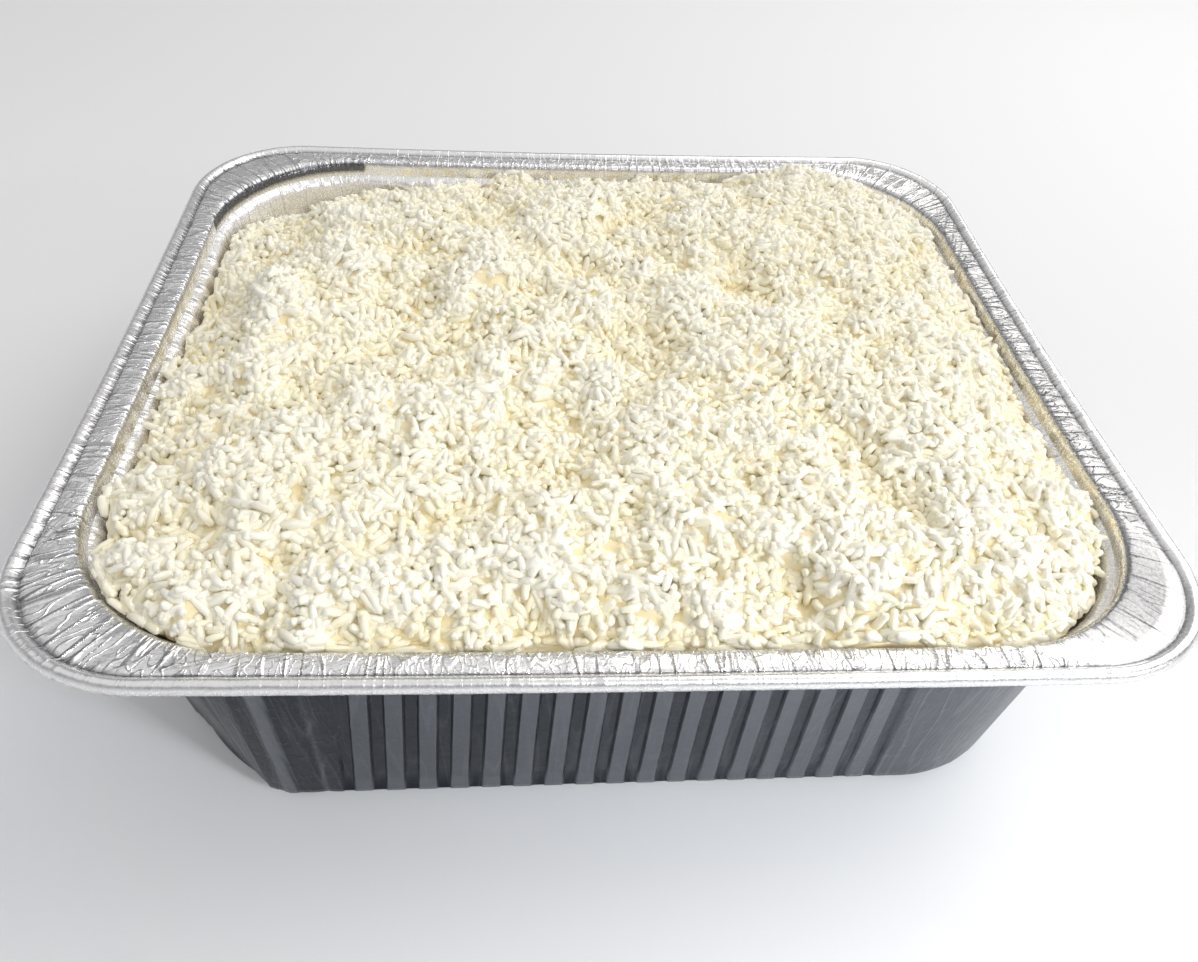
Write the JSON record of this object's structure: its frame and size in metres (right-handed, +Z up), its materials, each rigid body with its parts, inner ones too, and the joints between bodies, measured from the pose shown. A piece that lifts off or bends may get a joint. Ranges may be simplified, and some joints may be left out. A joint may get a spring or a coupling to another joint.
{
  "type": "tray of cooked rice",
  "caption": "Deep rectangular foil pan with ribbed walls, wide flange and rolled rim, heaped with cooked long grain white rice.",
  "frame": {"origin": "middle of the pan's flat underside", "axes": "+X along the pan's long side, +Y across it towards its far side, +Z up"},
  "size_m": [0.324, 0.286, 0.1001],
  "materials": {
    "foil": "bright rolled foil, creased",
    "cooked_rice": "moist, soft sheen"
  },
  "bodies": {
    "root": {"foil_tray": "foil", "rice_heap": "cooked_rice"}
  },
  "joints": []
}
